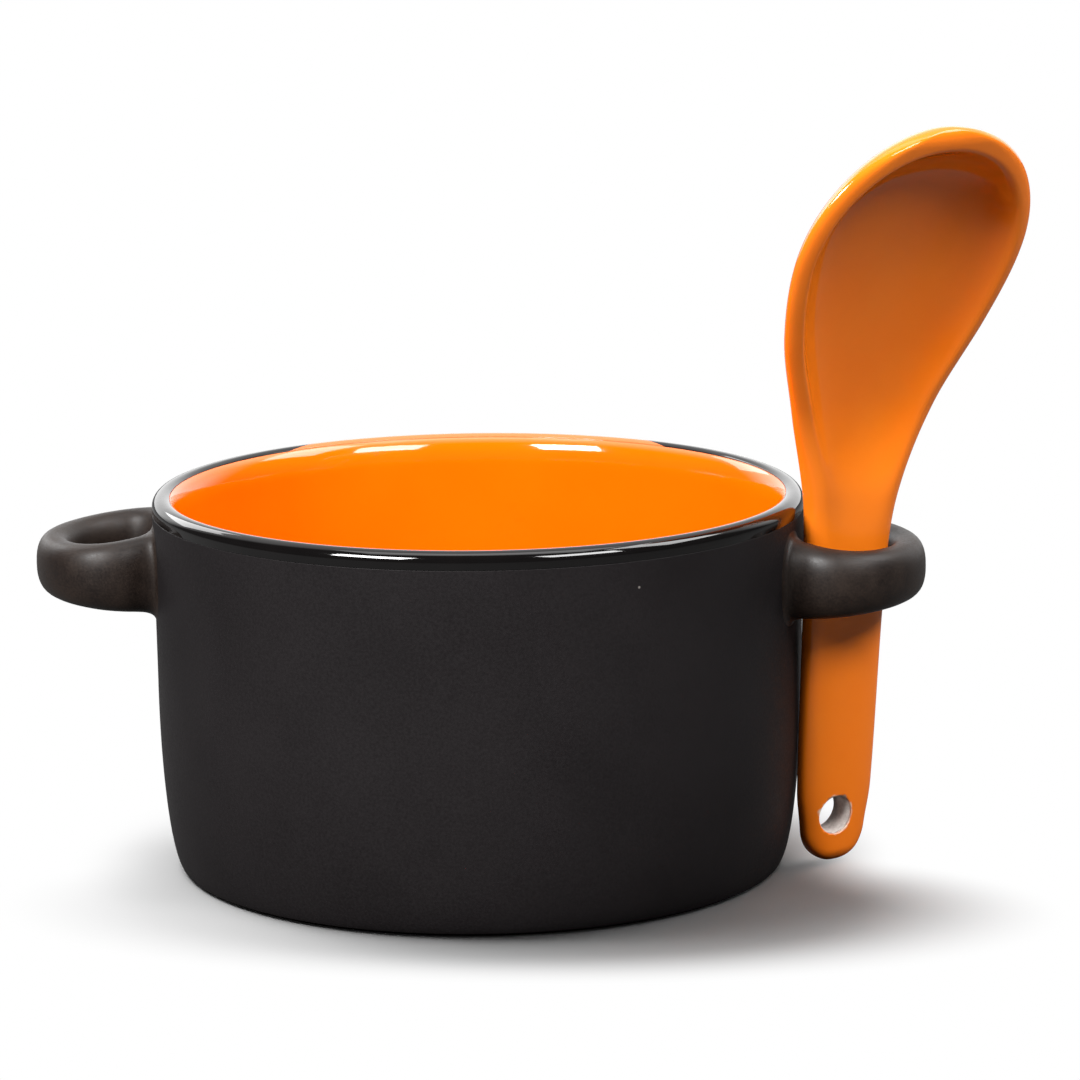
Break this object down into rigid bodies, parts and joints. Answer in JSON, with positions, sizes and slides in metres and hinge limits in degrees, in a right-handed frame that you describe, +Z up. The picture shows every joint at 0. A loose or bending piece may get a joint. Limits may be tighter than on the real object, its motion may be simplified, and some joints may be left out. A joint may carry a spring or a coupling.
{
  "type": "soup mug",
  "caption": "Wide stoneware soup mug, matt black outside and orange inside, with ring handles; a glazed ceramic spoon stands in one handle and lifts out.",
  "frame": {"origin": "on the mug's axis at the underside of the foot", "axes": "+Z up along the mug's axis, +X towards the handle that carries the spoon"},
  "size_m": [0.1941, 0.127, 0.1478],
  "materials": {
    "matt_black_stoneware": "matt black glaze",
    "black_gloss_glaze": "gloss black glaze",
    "orange_liner_glaze": "gloss orange glaze",
    "orange_spoon_glaze": "gloss orange glaze",
    "white_clay": "bare fired clay"
  },
  "bodies": {
    "mug": {"pot": "matt_black_stoneware", "liner_glaze": "orange_liner_glaze", "rim_glaze": "black_gloss_glaze", "right_handle": "matt_black_stoneware", "right_front_slip": "matt_black_stoneware", "right_back_slip": "matt_black_stoneware", "left_handle": "matt_black_stoneware", "left_front_slip": "matt_black_stoneware", "left_back_slip": "matt_black_stoneware"},
    "spoon": {"spoon_body": "white_clay", "spoon_glaze": "orange_spoon_glaze"}
  },
  "joints": [
    {"name": "spoon_lift", "type": "slide", "parent": "mug", "child": "spoon", "axis": [0.0488, -0.0567, 0.9972], "range_m": [0, 0.09]}
  ]
}
